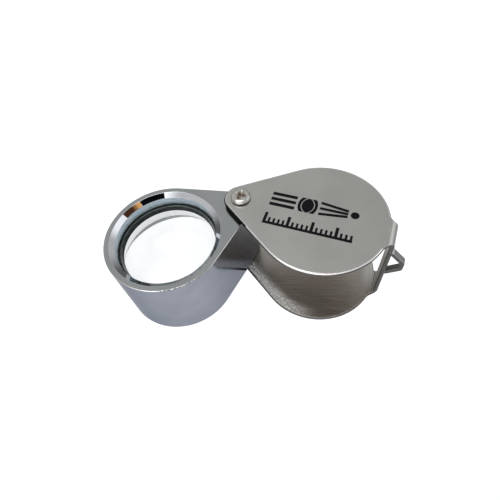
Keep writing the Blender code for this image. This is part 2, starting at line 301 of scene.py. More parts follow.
# -------- material parts
class Nodes:
    """Short ways to add shader nodes to a tree; each gives back an output socket, or the node itself."""

    def __init__(self, tree):
        self.tree = tree

    def node(self, kind, inputs=None, **settings):
        made = self.tree.nodes.new(kind)
        for key, value in settings.items():
            setattr(made, key, value)
        for key, value in (inputs or {}).items():
            if isinstance(value, bpy.types.NodeSocket):
                self.tree.links.new(value, made.inputs[key])
            else:
                made.inputs[key].default_value = value
        return made

    def spread(self, value, low, high, to_low=0.0, to_high=1.0):
        """Map low..high to to_low..to_high smoothly, clamped at both ends."""
        made = self.node("ShaderNodeMapRange",
                         {"Value": value, "From Min": low, "From Max": high,
                          "To Min": to_low, "To Max": to_high},
                         interpolation_type="SMOOTHSTEP")
        return made.outputs["Result"]

    def math(self, operation, a, b, clamp=False):
        made = self.node("ShaderNodeMath", operation=operation, use_clamp=clamp)
        for socket, value in zip(made.inputs, (a, b)):
            if isinstance(value, bpy.types.NodeSocket):
                self.tree.links.new(value, socket)
            else:
                socket.default_value = value
        return made.outputs[0]

    def times(self, a, b):
        return self.math("MULTIPLY", a, b)

    def plus(self, a, b):
        return self.math("ADD", a, b)

    def larger(self, a, b):
        return self.math("MAXIMUM", a, b)

    def blend(self, factor, first, second):
        """Mix two colours, each a socket or three numbers."""
        made = self.node("ShaderNodeMix", data_type="RGBA")
        for socket, value in ((made.inputs[0], factor), (made.inputs[6], first), (made.inputs[7], second)):
            if isinstance(value, bpy.types.NodeSocket):
                self.tree.links.new(value, socket)
            elif isinstance(value, tuple):
                socket.default_value = (*value, 1.0)
            else:
                socket.default_value = value
        return made.outputs[2]

    def mottle(self, noise, low, high, first, second, most=1.0):
        """The first colour where the noise is low, going over to the second where it is high."""
        return self.blend(self.spread(noise, low, high, 0.0, most), first, second)

    def vary(self, noise, low, high):
        """A value from low to high over the middle of a noise's range."""
        return self.spread(noise, 0.3, 0.7, low, high)

    def parts(self, vector):
        """The X, Y and Z of a vector socket."""
        return self.node("ShaderNodeSeparateXYZ", {"Vector": vector}).outputs

    def along(self, vector, direction):
        """How far the vector reaches along a direction of length 1."""
        made = self.node("ShaderNodeVectorMath", {0: vector, 1: direction}, operation="DOT_PRODUCT")
        return made.outputs["Value"]

    def length(self, vector, scale=(1.0, 1.0, 1.0), offset=(0.0, 0.0, 0.0)):
        """Length of the vector after an offset and a scale for each axis."""
        moved = self.node("ShaderNodeVectorMath", {0: vector, 1: offset}, operation="ADD").outputs[0]
        scaled = self.node("ShaderNodeVectorMath", {0: moved, 1: scale}, operation="MULTIPLY").outputs[0]
        return self.node("ShaderNodeVectorMath", {0: scaled}, operation="LENGTH").outputs["Value"]


class Look(Nodes):
    """A procedural surface material on a Principled shader.

    Where a shader input is a keyword here, an underscore in its name stands for a space.
    """

    def __init__(self, name, color, **fixed):
        self.material = bpy.data.materials.new(name)
        self.material.use_nodes = True
        super().__init__(self.material.node_tree)
        self.shader = self.tree.nodes["Principled BSDF"]
        self.shader.inputs["Base Color"].default_value = (*color, 1.0)
        for key, value in fixed.items():
            self.shader.inputs[key.replace("_", " ")].default_value = value
        self.material.diffuse_color = (*color, 1.0)
        self.point = self.place()

    def place(self, scale=(1, 1, 1), turn=0.0):
        """Object coordinates in millimetres, turned about Z by radians and then stretched."""
        coordinates = self.node("ShaderNodeTexCoord").outputs["Object"]
        turned_to = self.node("ShaderNodeMapping", {"Vector": coordinates, "Rotation": (0, 0, turn)})
        stretch = tuple(value / MM for value in scale)
        return self.node("ShaderNodeMapping", {"Vector": turned_to.outputs[0], "Scale": stretch}).outputs[0]

    def noise(self, scale, detail=4.0, roughness=0.5, distortion=0.0, at=None):
        made = self.node("ShaderNodeTexNoise",
                         {"Vector": at or self.point, "Scale": scale, "Detail": detail,
                          "Roughness": roughness, "Distortion": distortion})
        return made.outputs["Fac"]

    def edge(self):
        """1 on rounded edges, 0 on the faces between them."""
        return self.node("ShaderNodeAttribute", attribute_name="edge").outputs["Fac"]

    def bump(self, height, microns, strength=1.0, below=None):
        inputs = {"Height": height, "Distance": microns * 1e-6, "Strength": strength}
        if below is not None:
            inputs["Normal"] = below
        return self.node("ShaderNodeBump", inputs).outputs[0]

    def wire(self, tone=None, rough=None, bumps=None, **others):
        """Link sockets to the shader; the three main ones need no name."""
        for key, socket in {"Base_Color": tone, "Roughness": rough, "Normal": bumps, **others}.items():
            if socket is not None:
                self.tree.links.new(socket, self.shader.inputs[key.replace("_", " ")])
        return self.material


def cover_steel():
    """Satin plated sheet: soft cloudy tone, faint drawn lines along X and bright edges, rubbed and with a
    painted highlight.
    """
    look = Look("cover_steel", (0.54, 0.54, 0.51), Metallic=1.0)
    cloud = look.noise(0.10, 3.0)
    drawn = look.noise(1.0, 5.0, 0.6, at=look.place((0.12, 5.0, 5.0)))
    fine = look.noise(7.0, 3.0, 0.6)
    tone = look.mottle(cloud, 0.35, 0.65, (0.520, 0.520, 0.490), (0.555, 0.555, 0.520))
    tone = look.mottle(drawn, 0.45, 0.8, tone, (0.47, 0.468, 0.44), 0.12)
    # the rounded edges go near white: wear broken up by noise, and a painted highlight
    edge_wear_and_sheen = look.times(look.edge(), look.spread(fine, 0.30, 0.60, 0.6, 1.0))
    tone = look.blend(edge_wear_and_sheen, tone, (0.90, 0.90, 0.88))
    rough = look.plus(look.vary(cloud, 0.25, 0.30), look.vary(drawn, 0.0, 0.05))
    rough = look.math("SUBTRACT", rough, look.times(edge_wear_and_sheen, 0.10), clamp=True)
    lines = look.bump(drawn, 1.0, 0.15)
    return look.wire(tone, rough, look.bump(fine, 1.0, 0.3, below=lines))


def cover_inside():
    """The sheet's inner faces: drawn lengthwise, darker and browner than the outer steel as painted shade
    between the plates, paler near the rim as painted light broken up like rubbing, with pale flecks.
    """
    look = Look("cover_inside", (0.34, 0.32, 0.29), Metallic=1.0)
    drawn = look.noise(1.0, 5.0, 0.6, at=look.place((0.10, 4.5, 4.5), math.radians(-14)))
    speck = look.noise(2.2, 5.0, 0.8)
    # darker and browner than the cover's outer steel: painted shade between the two plates
    tone = look.mottle(drawn, 0.35, 0.68, (0.400, 0.370, 0.332), (0.475, 0.445, 0.405))
    # distance from the cover's centre, and towards its straight side on the near side
    reach = look.length(look.point, (1.0, 1.0, 0.0))
    lean = (COVER_RADIUS - TIP_RADIUS) / PIVOT_TO_COVER
    side = look.along(look.point, (-lean, -math.sqrt(1 - lean ** 2), 0.0))
    straight_x = COVER_RADIUS * -lean
    across = look.parts(look.point)
    # a pale band along the near rims, where the inside sees open light past the top plate: painted light,
    # broken up by the speck noise; the flecks below are random
    round_rim = look.spread(reach, COVER_RADIUS - 3.6, COVER_RADIUS - 1.4)
    round_rim = look.times(round_rim, look.spread(across["X"], 5.0, -5.0))
    round_rim = look.times(round_rim, look.spread(across["X"], straight_x - 1, straight_x + 1))
    round_rim = look.times(round_rim, look.spread(across["Y"], -4.0, -8.0))
    straight_rim = look.spread(side, COVER_RADIUS - 3.4, COVER_RADIUS - 1.0)
    painted_light_and_flecks = look.times(look.larger(round_rim, straight_rim), look.spread(speck, 0.44, 0.56, 0.15, 1.0))
    flecks = look.spread(speck, 0.70, 0.76, 0.0, 0.5)
    painted_light_and_flecks = look.larger(painted_light_and_flecks, flecks)
    # a painted highlight beside the web, mottled like a smear
    from_glint = look.length(look.point, (1.0, 0.45, 0.0), (-12.4, -1.9, 0.0))
    smear_and_glint = look.times(look.spread(from_glint, 2.4, 0.5), look.spread(speck, 0.30, 0.60, 0.3, 0.8))
    painted_light_and_flecks = look.larger(painted_light_and_flecks, smear_and_glint)
    tone = look.blend(painted_light_and_flecks, tone, (0.76, 0.76, 0.74))
    # near-black painted shade on the top plate's underside, in the gap over the lens body round the pivot
    from_pivot = look.length(look.point, (1.0, 1.0, 0.0), (-PIVOT.x, -PIVOT.y, 0.0))
    painted_shade = look.spread(look.plus(from_pivot, look.times(speck, 5.0)), 10.8, 8.0)
    painted_shade = look.times(painted_shade, look.spread(across["Z"], MID_HEIGHT - 1, MID_HEIGHT + 1))
    tone = look.blend(painted_shade, tone, (0.015, 0.015, 0.015))
    rough = look.plus(look.vary(drawn, 0.26, 0.32), look.times(painted_light_and_flecks, 0.5))
    lines = look.bump(drawn, 1.5, 0.2)
    return look.wire(tone, rough, look.bump(speck, 6.0, 0.4, below=lines),
                     Metallic=look.spread(painted_light_and_flecks, 0.0, 1.0, 1.0, 0.2))


def body_chrome():
    """The lens body's walls and outer rims: a soft bluish mirror with smudges and pits, a painted highlight
    along its rims, and dark nicks in the rim.
    """
    look = Look("body_chrome", (0.56, 0.59, 0.65), Metallic=1.0, Specular_Tint=(0.55, 0.57, 0.62, 1.0))
    smudge = look.noise(0.16, 4.0, 0.55, 0.6)
    peel = look.noise(1.4, 2.0, 0.5)
    fine = look.noise(9.0, 3.0, 0.6)
    nicks = look.noise(2.6, 3.0, 0.6)
    knock = Vector((math.cos(KNOCK_ANGLE), math.sin(KNOCK_ANGLE)))
    reach = BODY_RADIUS + LENS.dot(knock)
    battered = look.spread(look.along(look.point, (*knock, 0.0)), reach - 0.13 * BODY_RADIUS,
                           reach - 0.08 * BODY_RADIUS)
    tone = look.mottle(smudge, 0.3, 0.7, (0.475, 0.505, 0.565), (0.520, 0.550, 0.608))
    cells = look.node("ShaderNodeTexVoronoi", {"Vector": look.point, "Scale": 0.36}).outputs["Distance"]
    pit = look.times(look.spread(cells, 0.030, 0.070, 0.5, 0.0), look.spread(smudge, 0.50, 0.58))
    tone = look.blend(pit, tone, (0.12, 0.12, 0.13))
    chipped = look.times(battered, look.spread(nicks, 0.52, 0.46))
    # rounded rims painted near white as a highlight, except for dark chips in the battered arc
    tone = look.blend(look.edge(), tone, look.blend(chipped, (0.95, 0.93, 0.91), (0.12, 0.11, 0.11)))
    rough = look.spread(smudge, 0.3, 0.75, 0.10, 0.19)
    rough = look.plus(rough, look.spread(fine, 0.5, 0.8, 0.0, 0.05))
    surface = look.bump(fine, 0.6, 0.3, below=look.bump(peel, 2.5, 0.25))
    dents = look.times(look.times(look.edge(), battered), nicks)
    return look.wire(tone, rough, look.bump(dents, 12.0, 0.4, below=surface))


def bore_chrome():
    """The bore's bare plating: bluish, going darker and greener down to the upper ring."""
    look = Look("bore_chrome", (0.30, 0.36, 0.39), Metallic=1.0)
    marks = look.noise(1.0, 4.0, 0.6, at=look.place((0.4, 0.4, 6.0)))
    cloud = look.noise(0.22, 3.0)
    tone = look.mottle(cloud, 0.35, 0.65, (0.370, 0.440, 0.485), (0.400, 0.470, 0.520))
    depth = look.plus(look.parts(look.point)["Z"], look.times(cloud, 0.3))
    tone = look.mottle(depth, RING_FACE + 2.0, RING_FACE + 0.1, tone, (0.085, 0.112, 0.110))
    rough = look.vary(marks, 0.24, 0.32)
    return look.wire(tone, rough, look.bump(marks, 0.5, 0.08))


def mouth_chrome():
    """The chamfers of the bore: bright mirror plating with faint tool rings and a few specks."""
    look = Look("mouth_chrome", (0.76, 0.78, 0.81), Metallic=1.0)
    rings = look.noise(1.0, 3.0, 0.5, at=look.place((0.2, 0.2, 9.0)))
    specks = look.noise(3.0, 4.0, 0.7)
    tone = look.mottle(specks, 0.60, 0.72, (0.77, 0.79, 0.82), (0.55, 0.57, 0.60), 0.5)
    return look.wire(tone, look.vary(rings, 0.02, 0.05), look.bump(rings, 1.0, 0.2))


def cut_edge():
    """The sheet's sheared edges: dull, with a fine vertical tear pattern, and near black by the pivot as
    painted shade.
    """
    look = Look("cut_edge", (0.17, 0.165, 0.155), Metallic=1.0)
    tears = look.noise(1.0, 4.0, 0.6, at=look.place((5.0, 5.0, 0.8)))
    blotch = look.noise(0.7, 3.0)
    tone = look.mottle(tears, 0.3, 0.7, (0.13, 0.127, 0.120), (0.20, 0.196, 0.188))
    tone = look.mottle(blotch, 0.55, 0.75, tone, (0.34, 0.335, 0.32), 0.4)
    from_pivot = look.length(look.point, (1.0, 1.0, 0.0), (-PIVOT.x, -PIVOT.y, 0.0))
    # near black within reach of the pivot: painted shade of the gap over the lens body
    painted_shade = look.spread(from_pivot, 11.0, 7.0)
    tone = look.blend(painted_shade, tone, (0.02, 0.02, 0.02))
    rough = look.plus(look.vary(tears, 0.42, 0.55), look.times(painted_shade, 0.2))
    return look.wire(tone, rough, look.bump(tears, 4.0, 0.4))


def body_satin():
    """The lens body's flat top and bottom: satin plating with faint turning marks."""
    look = Look("body_satin", (0.53, 0.55, 0.545), Metallic=1.0)
    cloud = look.noise(0.15, 3.0)
    fine = look.noise(8.0, 4.0, 0.65)
    tone = look.mottle(cloud, 0.3, 0.7, (0.415, 0.435, 0.440), (0.450, 0.470, 0.472))
    tone = look.mottle(fine, 0.62, 0.75, tone, (0.66, 0.67, 0.67), 0.3)
    rough = look.plus(look.vary(cloud, 0.14, 0.19), look.vary(fine, 0.0, 0.04))
    return look.wire(tone, rough, look.bump(fine, 1.2, 0.35))


def plain_metal(name, dark, light, rough_low, rough_high, edge_tone):
    """A small metal piece: mottled tone, uneven roughness, brighter edges, rubbed and with a painted sheen.
    """
    look = Look(name, light, Metallic=1.0)
    mottle = look.noise(1.1, 5.0, 0.6)
    fine = look.noise(11.0, 4.0, 0.65)
    tone = look.mottle(mottle, 0.3, 0.7, dark, light)
    # edges lightened towards edge_tone: wear, and a painted sheen
    edge_wear_and_sheen = look.times(look.edge(), look.spread(fine, 0.3, 0.6, 0.4, 1.0))
    tone = look.blend(edge_wear_and_sheen, tone, edge_tone)
    rough = look.spread(look.times(look.plus(mottle, fine), 0.5), 0.35, 0.65, rough_low, rough_high)
    return look.wire(tone, rough, look.bump(fine, 2.0, 0.4))


def screw_steel():
    """Bright head with a painted highlight on its rounded edge, and a brown stain in its recess."""
    look = Look("screw_steel", (0.60, 0.59, 0.56), Metallic=1.0)
    fine = look.noise(6.0, 3.0, 0.6)
    mottle = look.noise(1.6, 4.0, 0.6)
    recess = look.node("ShaderNodeAttribute", attribute_name="recess").outputs["Fac"]
    tone = look.mottle(mottle, 0.3, 0.7, (0.56, 0.55, 0.52), (0.66, 0.65, 0.62))
    # the edge-flagged outer dome is lightened to near white: a painted highlight
    tone = look.blend(look.times(look.edge(), 0.6), tone, (0.97, 0.95, 0.92))
    stain = look.times(recess, look.spread(fine, 0.3, 0.6, 0.5, 1.0))
    tone = look.blend(stain, tone, (0.25, 0.18, 0.13))
    rough = look.plus(look.vary(mottle, 0.14, 0.20), look.times(stain, 0.25))
    return look.wire(tone, rough, look.bump(fine, 2.0, 0.3))


def painted_seam_shade():
    """Near-black painted shade for a seam, with a fine grain."""
    look = Look("painted_seam_shade", (0.02, 0.019, 0.018))
    grain = look.noise(8.0, 4.0, 0.7)
    tone = look.blend(grain, (0.012, 0.011, 0.010), (0.045, 0.042, 0.038))
    return look.wire(tone, look.vary(grain, 0.5, 0.8), look.bump(grain, 6.0, 0.5))


def black_anodised():
    """Blackened aluminium with fine turning marks round the lens axis and a cool sheen."""
    look = Look("black_anodised", (0.03, 0.035, 0.035), Specular_IOR_Level=0.9)
    marks = look.noise(1.0, 3.0, 0.6, at=look.place((0.3, 0.3, 14.0)))
    dust = look.noise(7.0, 4.0, 0.7)
    tone = look.mottle(marks, 0.3, 0.7, (0.014, 0.021, 0.020), (0.032, 0.043, 0.041))
    tone = look.mottle(dust, 0.68, 0.78, tone, (0.16, 0.16, 0.16), 0.5)
    tone = look.blend(look.times(look.edge(), 0.5), tone, (0.20, 0.21, 0.21))
    return look.wire(tone, look.vary(marks, 0.24, 0.38), look.bump(marks, 4.0, 0.5))


def polished_glass(name, tint, ior):
    """Clear glass whose roughness rises a little where it is smeared."""
    look = Look(name, tint, Transmission_Weight=1.0, IOR=ior)
    smear_and_glint = look.noise(0.35, 5.0, 0.6, 0.8)
    return look.wire(rough=look.spread(smear_and_glint, 0.5, 0.8, 0.0, 0.03))


def washer_nylon():
    look = Look("washer_nylon", (0.70, 0.69, 0.65))
    grain = look.noise(6.0, 4.0)
    tone = look.blend(grain, (0.62, 0.61, 0.56), (0.76, 0.75, 0.70))
    return look.wire(tone, look.vary(grain, 0.42, 0.58), look.bump(grain, 6.0, 0.4))


def print_ink():
    """Black printing ink, a little worn through on its high spots."""
    look = Look("print_ink", (0.012, 0.012, 0.014), Specular_IOR_Level=0.12)
    grain = look.noise(6.0, 5.0, 0.7)
    wear = look.spread(grain, 0.66, 0.74, 0.0, 0.6)
    tone = look.blend(wear, (0.003, 0.003, 0.005), (0.03, 0.03, 0.03))
    return look.wire(tone, look.vary(grain, 0.45, 0.6), look.bump(grain, 2.0, 0.4))


# -------- cover
def cover_plate(low, high):
    """A drop-shaped plate with rounded edges; its flat faces start a little in from the rim."""
    flat = 1.4
    profile = fillet([(flat, low, 0), (0, low, SHEET_ROUND), (0, high, SHEET_ROUND), (flat, high, 0)])
    return skin(*drop_rings(profile, COVER_RADIUS, TIP_RADIUS, PIVOT_TO_COVER))


def strip(path, width, thickness, rounding, flare=None):
    """Rounded rectangular strip along a path of (x, z), with its width along Y.

    The flare is how much further the -Y and the +Y side stand out at each point of the path.
    """
    half_t = thickness / 2
    rings = []
    for i, point in enumerate(path):
        more = flare[i] if flare else (0, 0)
        low, high = -width / 2 - more[0], width / 2 + more[1]
        section = fillet([(low, half_t, rounding), (high, half_t, rounding),
                          (high, -half_t, rounding), (low, -half_t, rounding)], closed=True, steps=4)
        ahead = path[min(i + 1, len(path) - 1)]
        behind = path[max(i - 1, 0)]
        along = (ahead - behind).normalized()
        out = Vector((-along.y, along.x))
        rings.append([(point.x + out.x * n, side, point.y + out.y * n) for side, n, _ in section])
    bm = skin(rings)
    layer = bm.verts.layers.float["edge"]
    for i, vert in enumerate(bm.verts):
        vert[layer] = section[i % len(section)][2]
    return bm


def finer(path, step):
    """The same path with a point at least every step."""
    points = [path[0]]
    for start, end in zip(path, path[1:]):
        count = max(1, math.ceil((end - start).length / step))
        points += [start.lerp(end, i / count) for i in range(1, count + 1)]
    return points


def web_flare(path, start, radius):
    """How far a side of the web stands out in its fillets, where the flat blank joins its round plates.

    The path starts and ends this far from the plates' centre.
    """
    run = [0.0]
    for near, far in zip(path, path[1:]):
        run.append(run[-1] + (far - near).length)
    to_centre = COVER_RADIUS + radius
    end = math.sqrt(to_centre ** 2 - (WEB_WIDTH / 2 + radius) ** 2)
    most = end * radius / to_centre
    flare = []
    for length in run:
        into = min(max(end - start - min(length, run[-1] - length), 0), most)
        flare.append(radius - math.sqrt(radius ** 2 - into ** 2))
    return flare


def smooth_path(corners, radii, steps):
    """An (x, z) path with its inner corners swapped for arcs."""
    triples = [(*corners[0], 0)] + [(*c, r) for c, r in zip(corners[1:-1], radii)] + [(*corners[-1], 0)]
    return [Vector((x, z)) for x, z, _ in fillet(triples, steps=steps)]


def cover_part(face):
    """0 for the cover's outer faces, 1 for the faces that look at the lens body, 2 for cut edges."""
    normal = face.normal
    spot = face.center / MM
    near = 0.05
    sloping, level, flat = 0.55, 0.90, 0.95     # how much of a normal points up or down
    on_web = spot.x > COVER_RADIUS + near and abs(normal.y) < 0.5
    # by the pivot more of the upper plate's rounding takes the cut-edge finish, to carry its painted shade
    by_pivot = (spot.xy - PIVOT).length < 7.5 and spot.z > MID_HEIGHT
    if abs(normal.z) < (level if by_pivot else sloping) and not on_web:
        return 2
    if normal.z > sloping and spot.z < 1.5 * SHEET:
        return 1 if normal.z > level or on_web else 2
    near_gap = min(abs(spot.z - SHEET), abs(spot.z - COVER_HIGH.z + SHEET)) < near
    if (abs(normal.z) > flat and near_gap) or (on_web and normal.x < -flat):
        return 1
    return 0


def make_cover(finish, inside, cut_edge):
    """Two rounded plates joined by the bent web, with the screw, rivet and loop holes cut."""
    top = COVER_HIGH.z
    middle_x = PIVOT_TO_COVER + COVER_HIGH.x - SHEET / 2
    start_x = PIVOT_TO_COVER + COVER_RADIUS - 4.0       # the web's strip runs well into the plates
    sunk = 0.002            # keeps the strip's faces off the plates' faces where they join
    corners = [(start_x, top - SHEET / 2), (middle_x, top - SHEET / 2),
               (middle_x, SHEET / 2), (start_x, SHEET / 2)]
    bend = BEND_RADIUS - SHEET / 2
    path = finer(smooth_path(corners, (bend, bend), 16), 0.25)
    near, far = [web_flare(path, start_x - PIVOT_TO_COVER, radius) for radius in WEB_FILLETS]
    web = strip(path, WEB_WIDTH, SHEET - 2 * sunk, SHEET_ROUND * 0.8, list(zip(near, far)))
    cover = combined(cover_plate(top - SHEET, top), web, "UNION")
    cover = combined(cover, cover_plate(0, SHEET), "UNION")
    cover = combined(cover, cylinder(HOLE_RADIUS, top - 2 * SHEET, top + SHEET), "DIFFERENCE")
    wide = RIVET_RADIUS + RUN_GAP
    narrow = SPIGOT_RADIUS + RUN_GAP
    rivet_hole = [(0, -SHEET, 0), (wide, -SHEET, 0), (wide, 0, 0), (narrow, SPIGOT_START, 0),
                  (narrow, 2 * SHEET, 0), (0, 2 * SHEET, 0)]
    cover = combined(cover, turned(rivet_hole, 96), "DIFFERENCE")
    for sign in (-1, 1):
        middle = MID_HEIGHT + sign * LOOP_ROOT_HALF
        tall = STRIP_THICKNESS / 2 + RUN_GAP
        wide = STRIP_WIDTH / 2 + RUN_GAP
        slot = box((middle_x - 2 * SHEET, -wide, middle - tall), (middle_x + SHEET, wide, middle + tall))
        cover = combined(cover, slot, "DIFFERENCE")
    add_piece("cover_shell", cover, AT_PIVOT, "cover", [finish, inside, cut_edge],
              "folding_cover", pick=cover_part)


def make_loop(finish, cut_edge):
    """Rounded strip, bent to a blunt V, whose feet are staked in the web."""
    inside = Vector((COVER_HIGH.x + LOOP_REACH / 3, 0, MID_HEIGHT)) * MM

    def loop_part(face):
        # faces that look into the loop take the dark cut-edge finish as painted shade; the faces along Y
        # are the strip's cut edges
        inner_shaded = face.normal.dot(inside - face.center) > 0 and abs(face.normal.y) < 0.3
        return 1 if abs(face.normal.y) > 0.7 or inner_shaded else 0

    bend_x = COVER_HIGH.x + RUN_GAP + 0.25
    tip_x = COVER_HIGH.x + LOOP_REACH
    upper = [(LOOP_FOOT, LOOP_ROOT_HALF), (bend_x, LOOP_ROOT_HALF), (tip_x, LOOP_TIP_HALF)]
    path = smooth_path(upper + [(x, -z) for x, z in reversed(upper)], LOOP_BENDS, 8)
    bm = strip(path, STRIP_WIDTH, STRIP_THICKNESS, STRIP_ROUND)
    add_piece("lanyard_strip", bm, Matrix.Translation((0, 0, MID_HEIGHT)), "cover", [finish, cut_edge],
              "lanyard_loop", pick=loop_part)


def bar(start, end, width):
    """Outline of a straight stroke of the printed diagram."""
    start, end = Vector(start), Vector(end)
    across = (end - start).normalized().orthogonal() * width / 2
    return [start - across, end - across, end + across, start + across]


def lens_sign(x, y, half_height, left_curve, right_curve, half_thickness):
    """Outline of a lens in section; a curve is a radius, with its sign the side it bulges to."""
    def side(curve, offset):
        points = []
        for i in range(17):
            up = -half_height + half_height * i / 8
            fall = abs(curve) - math.sqrt(curve ** 2 - up ** 2)
            points.append(Vector((x + offset - math.copysign(fall, curve), y + up)))
        return points

    return side(right_curve, half_thickness) + side(left_curve, -half_thickness)[::-1]


def make_print(finish):
    """Generic printed marks: a triplet with its rays, and under it a small rule."""
    low = COVER_HIGH.z + 0.002
    high = low + PRINT_HEIGHT
    left, right = PRINT_LEFT, PRINT_RIGHT
    row = 1.75              # Y of the lens diagram's axis
    lens_x = -3.2
    shapes = [lens_sign(lens_x, row, 1.85, -2.1, 2.1, 1.25),
              lens_sign(lens_x - 1.74, row, 1.85, -3.4, -2.25, 0.30)]
    shapes.append([Vector((2 * lens_x - p.x, p.y)) for p in reversed(shapes[1])])
    for up in (-1.4, 0, 1.4):
        shapes.append(bar((left, row + up), (lens_x - 2.5, row + up), 0.78))
        shapes.append(bar((lens_x + 2.5, row + up * 1.04), (right - 2.0, row + up * 0.5), 0.62))
    shapes.append([Vector((right - 0.65, row)) + p for p in arc((0, 0), 0.85, 0, 2 * math.pi, 40)[:-1]])
    base = -4.55            # Y of the rule's line
    thick, thin = 0.62, 0.46
    shapes.append(bar((left, base), (right, base), thick))
    spaces = 18
    for i in range(spaces + 1):
        tall, width = (2.5, thick) if i % 5 == 0 else (1.35, thin)
        at = left + thick / 2 + i * (right - left - thick) / spaces
        shapes.append(bar((at, base + thick / 2), (at, base + tall), width))
    bm = bmesh.new()
    for shape in shapes:
        bottom = [bm.verts.new((p.x, p.y, low)) for p in shape]
        top = [bm.verts.new((p.x, p.y, high)) for p in shape]
        bm.faces.new(bottom)
        bm.faces.new(top)
        for i in range(len(shape)):
            j = (i + 1) % len(shape)
            bm.faces.new((bottom[i], bottom[j], top[j], top[i]))
    add_piece("cover_print", bm, Matrix.Identity(4), "cover", [finish])


# -------- pivot
def cross_ring(arm, half, height):
    """Cross outline with rounded arm ends, for the screw's recess."""
    points = []
    for quarter in range(4):
        turn = Matrix.Rotation(quarter * math.pi / 2, 2)
        for spot in arc((arm - half, 0), half, -math.pi / 2, math.pi / 2, 8):
            points.append(turn @ spot)
        points.append(turn @ Vector((half, half)))
    return [(p.x, p.y, height) for p in points]


def make_screw(finish, painted_shade):
    seat = SCREW_LOW.z
    top = SCREW_HIGH.z
    face = COVER_HIGH.z + RUN_GAP
    radius = (SCREW_HIGH.x - SCREW_LOW.x) / 2
    rim = face + HEAD_RIM
    # the dome's outer part is flagged as edge, where the screw's material paints a highlight
    dome = []
    steps = 20
    for i in range(steps):
        turn = math.pi / 2 * i / steps
        dome.append((radius * math.cos(turn) ** 0.30, rim + (top - rim) * math.sin(turn),
                     1.0 if 0 < i < 0.4 * steps else 0.0))
    tip = 0.2               # chamfer of the shank's end
    soft = 0.05
    profile = [(0, seat, 0), (SCREW_RADIUS - tip, seat, 0), (SCREW_RADIUS, seat + tip, 0),
               (SCREW_RADIUS, face - soft, 0), (SCREW_RADIUS + soft, face, 0), (radius - 0.36, face, 0),
               (radius - 0.32, face + HEAD_BRIM, 0), (radius - soft, face + 0.26, 0),
               (radius, face + 0.31, 0)] + dome + [(0, top, 0)]
    head = turned(profile, 120)
    lower = top - RECESS_DEPTH
    over = 0.5              # the cutter ends this far over the head
    taper = (RECESS_WIDTH / 2 - 0.16) / RECESS_DEPTH
    rings = []
    for height, inward in ((lower, taper * RECESS_DEPTH), (top + over, -taper * over)):
        rings.append(cross_ring(RECESS_ARM - inward * 2.2, RECESS_WIDTH / 2 - inward * 0.8, height))
    head = combined(head, skin(rings), "DIFFERENCE")
    centre_pit = turned([(0, lower - 0.18, 0), (0.16, lower - 0.1, 0), (0.52, top - 0.12, 0),
                         (0.6, top + 0.3, 0), (0, top + 0.3, 0)], 48)
    head = combined(head, centre_pit, "DIFFERENCE")
    recess = head.verts.layers.float.new("recess")
    for vert in head.verts:
        inside = math.hypot(vert.co.x, vert.co.y) < RECESS_ARM + soft
        if vert.co.z > face + soft and inside:
            vert[recess] = min(1.0, max(0.0, (top - 0.20 - vert.co.z) / 0.25))
    # the head's underside faces below its brim take the near-black painted shade
    add_piece("pan_head_screw", head, AT_PIVOT @ Matrix.Rotation(math.radians(-1), 4, "Z"), "cover",
              [finish, painted_shade], "pivot_screw", sharp=30,
              pick=lambda piece_face: 1 if piece_face.center.z < (face + 0.25) * MM else 0)


def make_post(finish):
    """Axle with a riveted foot flush in the lower plate and a threaded bore for the screw."""
    bore = 0.85
    pitch = 0.4
    thread = 0.12
    top = POST_HIGH.z
    shoulder = SHEET + RUN_GAP
    floor = top - 7.0
    outside = fillet([(0.6, 0, 0), (RIVET_RADIUS, 0, 0.06), (SPIGOT_RADIUS, SPIGOT_START, 0.1),
                      (SPIGOT_RADIUS, shoulder, 0), (POST_RADIUS, shoulder, 0.1), (POST_RADIUS, top, 0.12),
                      (bore, top, 0)], steps=4)
    threads = []
    for i in range(16):
        threads.append((bore, top - pitch * (i + 0.25), 0.0))
        threads.append((bore + thread, top - pitch * (i + 0.75), 0.0))
    profile = [(0, 0.05, 0)] + outside + threads + [(bore, floor, 0), (0, floor - 0.3, 0)]
    add_piece("pivot_axle", turned(profile, 96), AT_PIVOT, "cover", [finish], "pivot_post")


def flat_ring(inner, outer, low, high, rounding, steps=4):
    corners = ((inner, low), (outer, low), (outer, high), (inner, high))
    return turned(fillet([(*corner, rounding) for corner in corners], closed=True, steps=steps))


def make_washers(nylon, spring):
    """Two flat washers and a waved one, whose bores clear the post."""
    inner = POST_RADIUS + RUN_GAP
    for name, node in (("upper_slip_washer", "upper_friction_washer"),
                       ("lower_slip_washer", "lower_friction_washer")):
        low, high = cad_box(node)
        washer = flat_ring(inner, (high.x - low.x) / 2, low.z, high.z, 0.06)
        add_piece(name, washer, AT_PIVOT, "cover", [nylon], node)
    low, high = cad_box("spring_washer")
    half = 0.06             # half the washer's sheet thickness
    waves = 3
    wave = (high.z - low.z) / 2 - half
    middle = (high.z + low.z) / 2
    bm = flat_ring(inner, (high.x - low.x) / 2, -half, half, half / 2, 3)
    for vert in bm.verts:
        vert.co.z += middle + wave * math.cos(waves * math.atan2(vert.co.y, vert.co.x))
    add_piece("wave_washer", bm, AT_PIVOT, "cover", [spring], "spring_washer")


